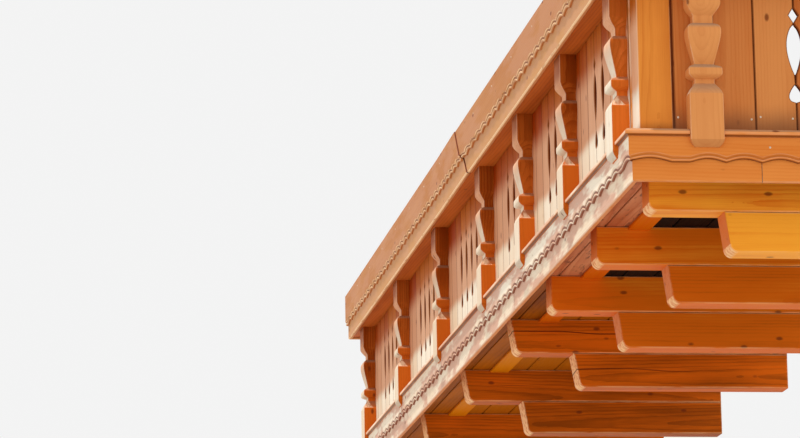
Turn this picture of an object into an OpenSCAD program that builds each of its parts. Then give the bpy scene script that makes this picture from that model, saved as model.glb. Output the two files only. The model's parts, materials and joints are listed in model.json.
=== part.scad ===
// Carved timber balcony of an alpine chalet, held by the beams that run back into the house wall.
// X runs along the front, +Y points to the house, +Z is up, all in millimetres.
// The wall plane is Y = 0, and the origin is the middle of the back end of one corbel beam.

/* [Layout] */
// Depth from the wall to the outer face of the front fascia
depth = 1520; // [1300:10:2200]
// Spacing of the narrow bays, at the right end
narrow_bay = 1160; // [900:10:1300]
// Number of narrow bays
narrow_bays = 3; // [1:1:4]
// Spacing of the wide bays, at the left end
wide_bay = 1540; // [1200:10:1800]
// Number of wide bays
wide_bays = 3; // [1:1:4]
// From a corner post to the first baluster of the front
front_clear = 11; // [5:1:120]
// From a corner post to the first baluster of a return
return_clear = 54; // [10:1:120]
// From a wall post to the last baluster of a return
wall_clear = 30; // [10:1:90]

/* [Beams] */
// Width of the joists and corbels
beam_w = 140; // [100:5:180]
// Height of a joist
joist_h = 170; // [140:5:220]
// Height of a corbel
corbel_h = 170; // [140:5:220]
// From the front face back to the ends of the joists
joist_setback = 120; // [80:5:200]
// From the front face back to the ends of the corbels
corbel_setback = 435; // [300:5:700]
// How far the end of a corbel slants back at its foot
corbel_slant = 24; // [0:1:50]
// Radius of the rounded lower end of each beam
beam_round = 34; // [10:1:60]

/* [Deck] */
// Thickness of the deck boards
deck_t = 24; // [18:1:40]
// Width of the deck board along each fascia
edge_board = 115; // [80:5:160]
// Width of the other deck boards, about
deck_board = 144; // [90:2:200]
// Gap between deck boards
deck_gap = 6; // [3:1:12]
// Width of the strips that cover the second deck joint from below
strip_w = 100; // [60:5:140]
// Thickness of those strips
strip_t = 15; // [10:1:30]

/* [Fascia] */
// From the top of the joists down to the lower edge of the fascia
fascia_drop = 88; // [40:1:120]
// Height of the fascia board
fascia_h = 184; // [160:1:260]
// Thickness of the fascia board
fascia_t = 34; // [24:1:40]
// Thickness of the scalloped apron boards
apron_t = 16; // [10:1:24]
// Height of the apron over the fascia board
fascia_apron_h = 108; // [70:1:150]
// Height of the ledge on the fascia at its outer edge
ledge_h = 20; // [12:1:40]
// Rise of the top of the ledge toward the boards
ledge_rise = 12; // [0:1:20]
// How far the ledge stands out past the apron
ledge_lip = 16; // [0:1:22]

/* [Scallops] */
// Width of one scallop
scallop_w = 150; // [100:1:220]
// Height of one scallop
scallop_h = 16; // [6:1:30]

/* [Balustrade] */
// From the top of the fascia to the underside of the flower trough
rail_rise = 679; // [600:1:800]
// Side of a baluster and of a post
post_w = 140; // [100:1:160]
// Side of a baluster at its neck
neck_w = 84; // [60:1:100]
// How far a baluster stands out past the apron
baluster_out = 25; // [15:1:40]
// How far the posts stand behind the face of the vertical boards
post_setback = 10; // [0:1:40]
// How far the foot of a baluster hangs over the apron
foot_lap = 45; // [20:1:60]
// Thickness of the vertical boards
board_t = 28; // [18:1:40]
// Width of the vertical boards, from joint to joint
board_pitch = 172; // [120:1:200]
// Width of the open joint between vertical boards
board_gap = 2; // [1:0.5:5]
// Number of carved joints in a narrow bay and in a return
narrow_carved = 2; // [2:2:4]
// Number of carved joints in a wide bay
wide_carved = 4; // [2:2:6]

/* [Carving] */
// Width of the vase-shaped cutout
vase_w = 64; // [40:1:90]
// Height of the vase-shaped cutout
vase_h = 208; // [120:1:240]
// From the top of the fascia to the foot of the vase
vase_rise = 280; // [250:1:320]
// Width of the heart below the vase
heart_w = 56; // [30:1:80]
// Height of the heart
heart_h = 76; // [50:1:90]
// From the top of the fascia to the foot of the heart
heart_rise = 160; // [120:1:180]
// Width of the diamond above the vase
diamond_w = 40; // [20:1:60]
// Height of the diamond
diamond_h = 62; // [30:1:80]
// Clear wood between the vase and the diamond
diamond_gap = 10; // [6:1:30]

/* [Flower trough] */
// Height of the trough boards
trough_h = 277; // [200:1:340]
// Thickness of the trough boards
trough_t = 22; // [15:1:30]
// Inner width of the trough
trough_w = 218; // [160:1:260]
// How far the outer face of the trough board stands out past the fascia apron
trough_out = 63; // [50:1:90]
// How far the outer trough board hangs below the trough floor
trough_drip = 10; // [0:1:20]
// Height of the scalloped apron over the trough board
trough_apron_h = 193; // [120:1:230]
// Width of the joint between the two lengths of the trough board
joint_gap = 3; // [1:0.5:6]
// How far the joint leans between the scallops and the top of the trough
joint_lean = 400; // [0:10:600]

/* [Hidden] */

// Heights, counted from the middle of the corbels
joist_z = corbel_h / 2;
joist_top = joist_z + joist_h;
deck_top = joist_top + deck_t;
fascia_z = joist_top - fascia_drop;
fascia_top = fascia_z + fascia_h;
trough_z = fascia_top + rail_rise;
trough_top = trough_z - trough_drip + trough_h;

// Offsets from the front face inward
fascia_in = apron_t + fascia_t;
trough_face = -trough_out;
trough_open = trough_face + trough_t;
trough_back = trough_open + trough_w;
// The vertical boards stand against the back of the fascia
board_face = fascia_in;
board_back = board_face + board_t;
post_face = board_face + post_setback;
post_inner = post_face + post_w;
deck_first = fascia_in + edge_board;
deck_count = round((depth - deck_first) / (deck_board + deck_gap));
deck_pitch = (depth - deck_first) / deck_count;

// Balusters of the front, counted from the right end, and of a return
front_start = post_inner + front_clear + post_w / 2;
return_start = post_inner + return_clear + post_w / 2;
return_stop = post_w + wall_clear + post_w / 2;
bays = narrow_bays + wide_bays;
function baluster_s(i) = front_start
    + min(i, narrow_bays) * narrow_bay + max(i - narrow_bays, 0) * wide_bay;
front_len = baluster_s(bays) + front_start;
front_balusters = [for (i = [0 : bays]) baluster_s(i)];
return_balusters = [return_start, depth - return_stop];
// The origin lies on the beams of the last narrow bay
x_right = baluster_s(narrow_bays);
x_left = x_right - front_len;

// A margin for cutting tools, and the number of steps that draw a scallop and a curve
cut = 10;
scallop_steps = 8;
curve_steps = 10;

beam_color = "peru";
board_color = "burlywood";
fascia_color = "tan";

// The three sides are drawn along s from the corner, with the offset o inward from the face
module on_front() translate([x_right, -depth, 0]) mirror([1, 0, 0]) children();
module on_right() translate([x_right, -depth, 0]) rotate([0, 0, 90]) children();
module on_left() translate([x_left, -depth, 0]) mirror([1, 0, 0]) rotate([0, 0, 90]) children();

// Outline of a board that runs along a side, mitred at the corners
function run_outline(len, o0, o1, both) =
    [[o0, o0], [len - (both ? o0 : 0), o0], [len - (both ? o1 : 0), o1], [o1, o1]];

module run(len, o0, o1, z0, z1, both = false) {
    translate([0, 0, z0])
        linear_extrude(z1 - z0)
            polygon(run_outline(len, o0, o1, both));
}

// A shape drawn in s and z, made solid between two offsets
module upright(o0, o1) {
    translate([0, o1, 0])
        rotate([90, 0, 0])
            linear_extrude(o1 - o0)
                children();
}

// Scalloped apron board
function scallop_edge(len, z) = [
    for (i = [floor(-trough_out / scallop_w) * scallop_steps - scallop_steps
            : ceil(len / scallop_w) * scallop_steps + scallop_steps])
        let (s = i * scallop_w / scallop_steps)
            [s, z + scallop_h * abs(sin(180 * (s - return_start + post_w / 2) / scallop_w))]];

module apron(len, face, height, top, both = false) {
    edge = scallop_edge(len, top - height);
    last = len(edge) - 1;
    intersection() {
        run(len, face - apron_t, face, top - height - cut, top, both);
        upright(face - apron_t - cut, face + cut)
            polygon(concat(edge, [[edge[last].x, top + cut], [edge[0].x, top + cut]]));
    }
}

// Beams
module beam(setback, height, slant, z) {
    rotate([90, 0, 90])
        translate([0, 0, -beam_w / 2])
            linear_extrude(beam_w)
                difference() {
                    polygon([[setback, z + height], [setback + slant, z], [depth, z],
                        [depth, z + height]]);
                    beam_corner(setback + slant, z);
                }
}

// What is cut away to round the lower end of a beam
module beam_corner(o, z) {
    difference() {
        translate([o - beam_round, z - beam_round])
            square(2 * beam_round);
        translate([o + beam_round, z + beam_round])
            circle(beam_round, $fn = 48);
        translate([o + beam_round, z - beam_round - cut])
            square([2 * beam_round, 3 * beam_round + cut]);
        translate([o - beam_round - cut, z + beam_round])
            square([3 * beam_round + cut, 2 * beam_round]);
    }
}

module on_beams()
    for (s = front_balusters)
        on_front() translate([s, 0, 0]) children();

module joists() color(beam_color)
    on_beams() beam(joist_setback, joist_h, 0, joist_z);

module corbels() color(beam_color)
    on_beams() beam(corbel_setback, corbel_h, corbel_slant, joist_z - corbel_h);

// Deck
module deck_board_at(o0, o1)
    on_front()
        translate([fascia_in, o0, joist_top])
            cube([front_len - 2 * fascia_in, o1 - o0, deck_t]);

module deck_boards() color("rosybrown") {
    deck_board_at(fascia_in, deck_first - deck_gap);
    for (i = [0 : deck_count - 1])
        deck_board_at(deck_first + i * deck_pitch,
            deck_first + (i + 1) * deck_pitch - (i < deck_count - 1 ? deck_gap : 0));
}

// Strips between the joists, under the joint behind the second deck board
module cover_strips() color(beam_color) {
    middle = deck_first + deck_pitch - deck_gap / 2;
    for (i = [0 : bays - 1])
        on_front()
            translate([front_balusters[i] + beam_w / 2, middle - strip_w / 2, joist_top - strip_t])
                cube([front_balusters[i + 1] - front_balusters[i] - beam_w, strip_w, strip_t]);
}

// Fascia
module fascia_board(len, both = false) color(fascia_color)
    run(len, apron_t, fascia_in, fascia_z, fascia_top, both);
module fascia_apron(len, both = false) color(fascia_color)
    apron(len, apron_t, fascia_apron_h, fascia_top, both);

// Ledge on the fascia, cut where the balusters stand
module ledge(len, places, both = false) color("wheat") {
    difference() {
        intersection() {
            run(len, -ledge_lip, board_face, fascia_top, fascia_top + ledge_h + ledge_rise, both);
            rotate([90, 0, 90])
                translate([0, 0, -ledge_lip - cut])
                    linear_extrude(len + 2 * (ledge_lip + cut))
                        polygon([[-ledge_lip, fascia_top], [-ledge_lip, fascia_top + ledge_h],
                            [board_face, fascia_top + ledge_h + ledge_rise],
                            [board_face, fascia_top]]);
            translate([-ledge_lip, -ledge_lip, fascia_top])
                cube([len + 2 * ledge_lip, len, ledge_h + ledge_rise]);
        }
        for (s = places)
            translate([s - post_w / 2, -ledge_lip - cut, fascia_top - cut])
                cube([post_w, board_face + ledge_lip + 2 * cut, ledge_h + ledge_rise + 2 * cut]);
    }
}

// Posts
module post_at(s0, o0) color(board_color)
    translate([s0, o0, deck_top])
        cube([post_w, post_w, trough_z - deck_top]);

module corner_post() post_at(post_face, post_face);
module wall_post() post_at(depth - post_w, post_face);

// Half of a baluster outline, as pairs of inset and height above the foot of the shaft
function baluster_inset() = let (n = (post_w - neck_w) / 2) [
    [0, 0], [0, 176], [n, 222], [n, 243], [0, 256], [0, 288], [n / 3, 297],
    [n, 303], [n * 0.8, 330], [n * 0.3, 390], [0.02 * n, 436], [0.3 * n, 458],
    [n, 472], [n, 510], [0, 550]];

module baluster() color(board_color) {
    inset = baluster_inset();
    half = post_w / 2;
    back = board_face;
    last = len(inset) - 1;
    top = trough_z;
    // The shaft, shaped on its outer face and on both flanks
    intersection() {
        upright(-baluster_out, back)
            polygon(concat(
                [for (p = inset) [p.x - half, fascia_top + p.y]],
                [[-half, top], [half, top]],
                [for (i = [last : -1 : 0]) [half - inset[i].x, fascia_top + inset[i].y]]));
        rotate([90, 0, 90])
            translate([0, 0, -half])
                linear_extrude(post_w)
                    polygon(concat(
                        [for (p = inset) [p.x - baluster_out, fascia_top + p.y]],
                        [[-baluster_out, top], [back, top], [back, fascia_top]]));
    }
    // The foot, which hangs over the apron
    rotate([90, 0, 90])
        translate([0, 0, -half])
            linear_extrude(post_w)
                polygon([[-baluster_out, fascia_top], [0, fascia_top],
                    [0, fascia_top - foot_lap], [-baluster_out * 0.4, fascia_top - foot_lap],
                    [-baluster_out, fascia_top - foot_lap * 0.6]]);
}

module balusters(places)
    for (s = places)
        translate([s, 0, 0]) baluster();

// Cutouts, drawn half in the board on each side of a joint
function vase_half() = [for (i = [0 : curve_steps])
    let (t = i / curve_steps, swell = pow(sin(180 * pow(t, 1.25)), 0.7))
        [(0.12 + 0.88 * swell) * vase_w / 2, vase_h * t]];
function heart_half() = [for (i = [0 : curve_steps])
    let (t = i / curve_steps)
        [heart_w / 2 * pow(sin(180 * pow(t, 0.62)), 0.8), heart_h * t]];

module mirrored_outline(half)
    polygon(concat(half, [for (i = [len(half) - 1 : -1 : 0]) [-half[i].x, half[i].y]]));

module carving(s) {
    translate([s, fascia_top + vase_rise]) mirrored_outline(vase_half());
    translate([s, fascia_top + heart_rise]) mirrored_outline(heart_half());
    translate([s, fascia_top + vase_rise + vase_h + diamond_gap])
        polygon([[0, 0], [diamond_w / 2, diamond_h / 2], [0, diamond_h], [-diamond_w / 2, diamond_h / 2]]);
}

// Vertical boards between two places, with their joints counted from the middle of the bay
module boards(s0, s1, middle, carved) color(board_color) {
    reach = ceil((s1 - s0) / board_pitch) + 1;
    upright(board_face, board_back)
        difference() {
            translate([s0 + board_gap / 2, deck_top])
                square([s1 - s0 - board_gap, trough_z - deck_top]);
            for (k = [-reach : reach]) {
                s = middle + (k + 0.5) * board_pitch;
                translate([s - board_gap / 2, deck_top - cut])
                    square([board_gap, trough_z - deck_top + 2 * cut]);
            }
            for (k = [0 : carved - 1])
                carving(middle + (k - (carved - 1) / 2) * board_pitch);
        }
}

module boards_front(i) if (i < bays) {
    s0 = front_balusters[i];
    s1 = front_balusters[i + 1];
    on_front()
        boards(i == 0 ? post_inner : s0, i == bays - 1 ? front_len - post_inner : s1,
            (s0 + s1) / 2, i < narrow_bays ? narrow_carved : wide_carved);
}
module boards_return()
    boards(post_inner, depth - post_w, (return_balusters[0] + return_balusters[1]) / 2, narrow_carved);

// Flower trough
// The two lengths of the front boards meet at a joint that leans above the scallops
module front_joint() {
    s0 = x_right;
    s1 = s0 + joint_lean;
    z0 = trough_top - trough_apron_h;
    upright(trough_face - apron_t - cut, trough_open + cut)
        polygon([[s0, trough_z - trough_drip - cut], [s0 + joint_gap, trough_z - trough_drip - cut],
            [s0 + joint_gap, z0], [s1 + joint_gap, trough_top], [s1 + joint_gap, trough_top + cut],
            [s1, trough_top + cut], [s1, trough_top], [s0, z0]]);
}

module trough_board(len, both = false) color(fascia_color)
    difference() {
        run(len, trough_face, trough_open, trough_z - trough_drip, trough_top, both);
        if (both) front_joint();
    }
module trough_apron(len, both = false) color(fascia_color)
    difference() {
        apron(len, trough_face, trough_apron_h, trough_top, both);
        if (both) front_joint();
    }
module trough_floor(len, both = false) color("chocolate")
    run(len, trough_open, trough_back, trough_z, trough_z + trough_t, both);
module trough_inner(len, both = false) color(board_color)
    run(len, trough_back, trough_back + trough_t, trough_z, trough_top, both);
module trough_end() color(board_color)
    translate([depth - trough_t, trough_open, trough_z + trough_t])
        cube([trough_t, trough_w, trough_top - trough_z - trough_t]);

joists();
corbels();
deck_boards();
cover_strips();
on_front() fascia_board(front_len, true);  // fascia_board_front
on_right() fascia_board(depth);  // fascia_board_right
on_left() fascia_board(depth);  // fascia_board_left
on_front() fascia_apron(front_len, true);  // fascia_apron_front
on_right() fascia_apron(depth);  // fascia_apron_right
on_left() fascia_apron(depth);  // fascia_apron_left
on_front() ledge(front_len, front_balusters, true);  // ledge_front
on_right() ledge(depth, return_balusters);  // ledge_right
on_left() ledge(depth, return_balusters);  // ledge_left
on_right() corner_post();  // corner_post_right
on_left() corner_post();  // corner_post_left
on_right() wall_post();  // wall_post_right
on_left() wall_post();  // wall_post_left
on_front() balusters(front_balusters);  // balusters_front
on_right() balusters(return_balusters);  // balusters_right
on_left() balusters(return_balusters);  // balusters_left
boards_front(0);  // boards_front_1
boards_front(1);  // boards_front_2
boards_front(2);  // boards_front_3
boards_front(3);  // boards_front_4
boards_front(4);  // boards_front_5
boards_front(5);  // boards_front_6
on_right() boards_return();  // boards_right
on_left() boards_return();  // boards_left
on_front() trough_board(front_len, true);  // trough_board_front
on_right() trough_board(depth);  // trough_board_right
on_left() trough_board(depth);  // trough_board_left
on_front() trough_apron(front_len, true);  // trough_apron_front
on_right() trough_apron(depth);  // trough_apron_right
on_left() trough_apron(depth);  // trough_apron_left
on_front() trough_floor(front_len, true);  // trough_floor_front
on_right() trough_floor(depth);  // trough_floor_right
on_left() trough_floor(depth);  // trough_floor_left
on_front() trough_inner(front_len, true);  // trough_inner_front
on_right() trough_inner(depth);  // trough_inner_right
on_left() trough_inner(depth);  // trough_inner_left
on_right() trough_end();  // trough_end_right
on_left() trough_end();  // trough_end_left
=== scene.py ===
import json
import random
from math import cos, pi, radians, sin, sqrt

import bpy
from mathutils import Matrix, Vector


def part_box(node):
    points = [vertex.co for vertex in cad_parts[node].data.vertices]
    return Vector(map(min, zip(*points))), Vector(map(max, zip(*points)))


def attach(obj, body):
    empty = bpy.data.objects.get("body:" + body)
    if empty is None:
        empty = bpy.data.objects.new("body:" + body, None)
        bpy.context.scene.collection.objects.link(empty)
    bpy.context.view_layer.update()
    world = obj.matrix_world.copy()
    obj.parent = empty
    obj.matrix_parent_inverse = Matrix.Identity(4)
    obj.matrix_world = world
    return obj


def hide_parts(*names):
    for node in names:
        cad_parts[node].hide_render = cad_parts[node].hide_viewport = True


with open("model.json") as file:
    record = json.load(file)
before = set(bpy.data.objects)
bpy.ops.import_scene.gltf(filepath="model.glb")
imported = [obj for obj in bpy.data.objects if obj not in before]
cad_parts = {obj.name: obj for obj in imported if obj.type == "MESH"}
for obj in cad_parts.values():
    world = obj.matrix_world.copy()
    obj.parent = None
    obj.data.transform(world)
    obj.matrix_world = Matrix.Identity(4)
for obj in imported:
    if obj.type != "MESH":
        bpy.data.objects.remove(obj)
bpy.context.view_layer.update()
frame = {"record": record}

SLOTS = {row["node"]: row["material_slot"] for row in frame["record"]["subparts"]}
BOXES = {node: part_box(node) for node in SLOTS}


def low(node):
    return BOXES[node][0]


def high(node):
    return BOXES[node][1]


# Each side is drawn with s along it from the corner, o inward from its face, and z up
X_RIGHT, X_LEFT = high("fascia_apron_front").x, low("fascia_apron_front").x
DEPTH = -low("fascia_apron_front").y
FRONT = X_RIGHT - X_LEFT
SIDES = ("front", "right", "left")
LENGTHS = {"front": FRONT, "right": DEPTH, "left": DEPTH}


def inward(y):
    """Offset from the face of the front of a place in the row frame"""
    return DEPTH + y


# Heights
DECK_Z, DECK_TOP = low("deck_boards").z, high("deck_boards").z
FASCIA_Z, FASCIA_TOP = low("fascia_board_front").z, high("fascia_board_front").z
LEDGE_TOP = high("ledge_front").z
RAIL_Z = low("trough_floor_front").z
TROUGH_Z, TROUGH_TOP = low("trough_board_front").z, high("trough_board_front").z

# Offsets inward
APRON_BACK = inward(low("fascia_board_front").y)
FASCIA_BACK = inward(high("fascia_board_front").y)
LEDGE_OUT = inward(low("ledge_front").y)
BOARD_FACE, BOARD_BACK = inward(low("boards_front_2").y), inward(high("boards_front_2").y)
BALUSTER_OUT = inward(low("balusters_front").y)
TROUGH_OUT = inward(low("trough_apron_front").y)
TROUGH_FACE = inward(low("trough_board_front").y)
TROUGH_OPEN = inward(low("trough_floor_front").y)
TROUGH_BACK = inward(high("trough_floor_front").y)

# Widths
BEAM_W = high("joists").x - high("cover_strips").x
POST_O = X_RIGHT - high("corner_post_right").x
POST_W = high("corner_post_right").x - low("corner_post_right").x
BOARD_PITCH = 0.172
BOARD_GAP = 0.002
# The least gap, easing or difference that counts
HAIR = 0.001

# Centres of the balusters and beams along the front, and of the balusters along a return
BAYS = 6
NARROW_BAYS = 3
CENTRES = (
    [X_RIGHT - high("joists").x + BEAM_W / 2]
    + [X_RIGHT - (low(f"boards_front_{i}").x + high(f"boards_front_{i + 1}").x) / 2 for i in range(1, BAYS)]
    + [X_RIGHT - low("joists").x - BEAM_W / 2])
RETURN_CENTRES = [
    inward(low("balusters_right").y) + POST_W / 2, inward(high("balusters_right").y) - POST_W / 2]
PLACES = {"front": CENTRES, "right": RETURN_CENTRES, "left": RETURN_CENTRES}


def placed(side, s, o, z):
    if side == "front":
        return X_RIGHT - s, o - DEPTH, z
    if side == "right":
        return X_RIGHT - o, s - DEPTH, z
    return X_LEFT + o, s - DEPTH, z


# Outlines and solids
CORNER_LIMIT = 0.4
RUN_EDGE = 0.0015
MITRE_ROOM = 0.002
GRAIN_LEAN = 0.02
# How near an axis the normal of a face lies that counts as square
SQUARE = 0.97


def in_scene(name, data):
    """A new object, put into the scene"""
    made = bpy.data.objects.new(name, data)
    bpy.context.scene.collection.objects.link(made)
    return made


def inset(outline, distance):
    """A closed outline moved inward, whichever way round it runs. Its sharpest corners move less"""
    after = outline[1:] + outline[:1]
    turn = 1 if sum(a[0] * b[1] - b[0] * a[1] for a, b in zip(outline, after)) > 0 else -1
    sides = [(Vector(b) - Vector(a)).normalized() for a, b in zip(outline, after)]
    normals = [Vector((-d.y, d.x)) * turn for d in sides]
    moved = []
    for i, point in enumerate(outline):
        both = normals[i - 1] + normals[i]
        share = max(1 + normals[i - 1].dot(normals[i]), CORNER_LIMIT)
        moved.append(tuple(Vector(point) + both * distance / share))
    return moved


def eased(u0, u1, v0, v1, edge, steps=2):
    """Outline of a board or post with its four arrises rounded"""
    outline = []
    corners = [(u0 + edge, v0 + edge), (u1 - edge, v0 + edge), (u1 - edge, v1 - edge), (u0 + edge, v1 - edge)]
    for quarter, (u, v) in enumerate(corners):
        for k in range(steps + 1):
            angle = pi + pi / 2 * (quarter + k / steps)
            outline.append((u + edge * cos(angle), v + edge * sin(angle)))
    return outline


class Piece:
    """What stands for one CAD node: closed solids, each with a grain and a tint of its own"""

    ORDER = {"s": (0, 1, 2), "o": (1, 0, 2), "z": (2, 0, 1)}

    def __init__(self, node, side="front", warp=None):
        self.node, self.side, self.warp = node, side, warp
        self.random = random.Random(node)
        self.points, self.faces = [], []
        self.grain, self.tints, self.splits, self.wear, self.choice = [], [], [], [], []

    def grain_of(self, local, along, heart):
        """Places in the tree that a solid was sawn from: along its length, and out from the heart"""
        turned = [Vector([p[i] for i in self.ORDER[along]]) for p in local]
        middle = sum(turned, Vector()) / len(turned)
        draw = self.random.uniform
        spread, depth = heart
        start = draw(0, 40)
        off = Vector((0, draw(-spread, spread), draw(0.3, 1) * depth * self.random.choice((-1, 1))))
        lean = (draw(-GRAIN_LEAN, GRAIN_LEAN), draw(-GRAIN_LEAN, GRAIN_LEAN))
        for p in turned:
            q = p - middle
            self.grain.append((start + q.x, q.y + off.y + lean[0] * q.x, q.z + off.z + lean[1] * q.x))

    def solid(self, rings, along, wear=lambda band, strip, slanted: slanted, tint=None, material=0,
              heart=(0.06, 0.12), split=9.0, caps=(0.0, 0.0)):
        """Joins rings of points in s, o and z. wear gives how rubbed a face is by the band between two
        rings, by its place in the ring, and by whether it is out of square with the axes; some marks above
        zero paint sunlit highlights, and below zero a mark darkens the face, as dirt in some places and as
        painted shade in others. caps does so for the two ends. heart is how far across and out from the heart
        of the tree it may be sawn, and split is the height of a drying crack"""
        count, start = len(rings[0]), len(self.points)
        local = [Vector(p) for ring in rings for p in ring]
        spots = [placed(self.side, *(self.warp(*p) if self.warp else p)) for p in local]
        faces, marks = [tuple(range(count))[::-1]], [caps[0]]
        for i in range(len(rings) - 1):
            for j in range(count):
                k = (j + 1) % count
                faces.append((i * count + j, i * count + k, (i + 1) * count + k, (i + 1) * count + j))
                marks.append(float(wear(i, j, self.slanted(local, faces[-1]))))
        faces.append(tuple(range(len(local) - count, len(local))))
        marks.append(caps[1])
        volume = 0
        for face in faces:
            a = Vector(spots[face[0]])
            for b, c in zip(face[1:-1], face[2:]):
                volume += a.dot(Vector(spots[b]).cross(Vector(spots[c])))
        if volume < 0:
            faces = [face[::-1] for face in faces]
        self.grain_of(local, along, heart)
        shade = self.random.uniform(-1, 1) if tint is None else tint
        self.points += spots
        self.tints += [shade] * len(spots)
        self.splits += [p.z - split for p in local]
        self.faces += [tuple(start + i for i in face) for face in faces]
        self.wear += marks
        self.choice += [material] * len(faces)

    @staticmethod
    def slanted(local, face):
        normal = (local[face[2]] - local[face[0]]).cross(local[face[3]] - local[face[1]])
        return normal.length > 1e-9 and max(abs(c) for c in normal.normalized()) < SQUARE

    def extrude(self, outline, axis, start, end, edge=0.0, steps=1, along=None, **how):
        """An outline in the other two axes made solid along one, with its ends eased"""
        rings = []
        for k in range(steps + 1 if edge else 1):
            turn = pi / 2 * k / steps
            ring = inset(outline, edge * (1 - sin(turn))) if edge else outline
            rings.append((ring, edge * (1 - cos(turn))))
        ends = [(ring, start + step) for ring, step in rings]
        ends += [(ring, end - step) for ring, step in rings[::-1]]
        place = "soz".index(axis)
        self.solid([[(*p[:place], w, *p[place:]) for p in ring] for ring, w in ends], along or axis, **how)

    def run(self, profile, start, end, mitres=(False, False), stations=(), edge=RUN_EDGE,
            wear=lambda strip, slanted: slanted, dirt=1.0, **how):
        """A moulding along the side: profile(s) is its outline in o and z, mitred where it turns a corner.
        Its other ends are eased and as dirty as it is told"""
        first, last = profile(start), profile(end)
        reach = max(0, *(o for o, _ in first)) + MITRE_ROOM
        rings = []
        if mitres[0]:
            rings.append([(start + o, o, z) for o, z in first])
        else:
            rings.append([(start, o, z) for o, z in inset(first, edge)])
            rings.append([(start + edge, o, z) for o, z in first])
        inner, outer = start + (reach if mitres[0] else edge), end - (reach if mitres[1] else edge)
        rings += [[(s, o, z) for o, z in profile(s)] for s in stations if inner < s < outer]
        if mitres[1]:
            rings.append([(end - o, o, z) for o, z in last])
        else:
            rings.append([(end - edge, o, z) for o, z in last])
            rings.append([(end, o, z) for o, z in inset(last, edge)])
        open_ends = [band for band, mitre in zip((0, len(rings) - 2), mitres) if not mitre]

        def marks(band, strip, slanted):
            return -dirt if band in open_ends else wear(strip, slanted)

        caps = [0.0 if mitre else -dirt for mitre in mitres]
        self.solid(rings, "s", wear=marks, caps=caps, **how)

    def normals(self, mesh, smooth):
        """Normals that keep the flat faces flat beside their rounded arrises"""
        limit = cos(radians(smooth))
        faces = [(face.normal.copy(), face.area) for face in mesh.polygons]
        around = [[] for _ in mesh.vertices]
        for i, face in enumerate(self.faces):
            for v in face:
                around[v].append(i)
        found = []
        for i, face in enumerate(self.faces):
            own = faces[i][0]
            for v in face:
                near = [faces[j] for j in around[v] if own.dot(faces[j][0]) > limit]
                found.append(sum((normal * area for normal, area in near), own * 1e-9).normalized())
        mesh.normals_split_custom_set(found)

    def build(self, *materials, smooth=50):
        mesh = bpy.data.meshes.new(self.node + "_mesh")
        mesh.from_pydata(self.points, [], self.faces)
        grain = mesh.attributes.new("grain", "FLOAT_VECTOR", "POINT")
        grain.data.foreach_set("vector", [c for p in self.grain for c in p])
        for name, domain, values in (
                ("tint", "POINT", self.tints), ("split", "POINT", self.splits), ("wear", "FACE", self.wear)):
            mesh.attributes.new(name, "FLOAT", domain).data.foreach_set("value", values)
        for material in materials:
            mesh.materials.append(material)
        mesh.polygons.foreach_set("material_index", self.choice)
        mesh.polygons.foreach_set("use_smooth", [True] * len(self.faces))
        self.normals(mesh, smooth)
        piece = in_scene(self.node + "_detailed", mesh)
        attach(piece, "root")
        if self.node in SLOTS:
            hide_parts(self.node)


# Beams
BEAM_ROUND = 0.034
BEAM_STEPS = 8
BEAM_EDGE = 0.006
BEAM_HEART = (0.02, 0.02)
ARRIS_WEAR = 0.8
# Tint and height of the drying crack of each beam, how far its end leans back, and how worn that is. The
# tints are painted light and shade: lighter on the nearest beams, darker on the farther ones in their
# neighbours' shade
JOISTS = (
    (0.6, 9, 0, 0), (-0.05, 9, 0, 0), (-0.07, 9, 0, 0.2), (-0.65, 0.19, 0.028, 1), (-0.9, 0.165, 0.028, 1),
    (-0.7, 9, 0.028, 1), (-0.8, 0.18, 0.028, 1))
CORBELS = (
    (0.9, 9, 0.024, 0), (-0.25, 9, 0.024, 0.2), (-0.3, 9, 0.024, 0.2), (-0.6, 0, 0.03, 1), (-0.9, 9, 0.03, 1),
    (-0.7, 0.02, 0.03, 1), (-0.8, 9, 0.03, 1))


def beam_outline(face, slant, bottom, top):
    """Outline in o and z of a beam whose lower front corner is rounded"""
    foot = face + slant * (1 - BEAM_ROUND / (top - bottom))
    outline = [(face, top)]
    for k in range(BEAM_STEPS + 1):
        angle = pi + pi / 2 * k / BEAM_STEPS
        outline.append((foot + BEAM_ROUND * (1 + cos(angle)), bottom + BEAM_ROUND * (1 + sin(angle))))
    return outline + [(DEPTH, bottom), (DEPTH, top)]


def beam_wear(worn):
    """The end is as worn as it is told. The round under it and the arrises are rubbed"""

    def wear(band, strip, slanted):
        if strip == 0:
            return worn
        return 1 if strip <= BEAM_STEPS else ARRIS_WEAR * slanted

    return wear


def beams(node, looks, material):
    piece = Piece(node)
    for s, (tint, split, slant, worn) in zip(CENTRES, looks):
        outline = beam_outline(inward(low(node).y), slant, low(node).z, high(node).z)
        piece.extrude(outline, "s", s - BEAM_W / 2, s + BEAM_W / 2, BEAM_EDGE, 3, along="o", tint=tint,
                      split=split, wear=beam_wear(worn), heart=BEAM_HEART)
    piece.build(material)


# Deck
EDGE_BOARD = 0.115
DECK_GAP = 0.006
DECK_ROWS = 9
DECK_EDGE = 0.003
DECK_END = 0.002
# How many first bays have near-black boards behind the cover strips, as painted deep shade
DEEP_SHADE_BAYS = 2
BROWN_TINT = 1.4
# The dark layer in the gaps, painted shade: how far it stays inside the deck, and its heights over the
# underside
GAP_SHADE_INSET = 0.01
GAP_SHADE_BOTTOM, GAP_SHADE_TOP = 0.009, 0.012
STRIP_EDGE = 0.004
# Tints of the cover strips
STRIPS = (-0.5, -0.6, -0.8, 1, 0.9, 1)


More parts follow.
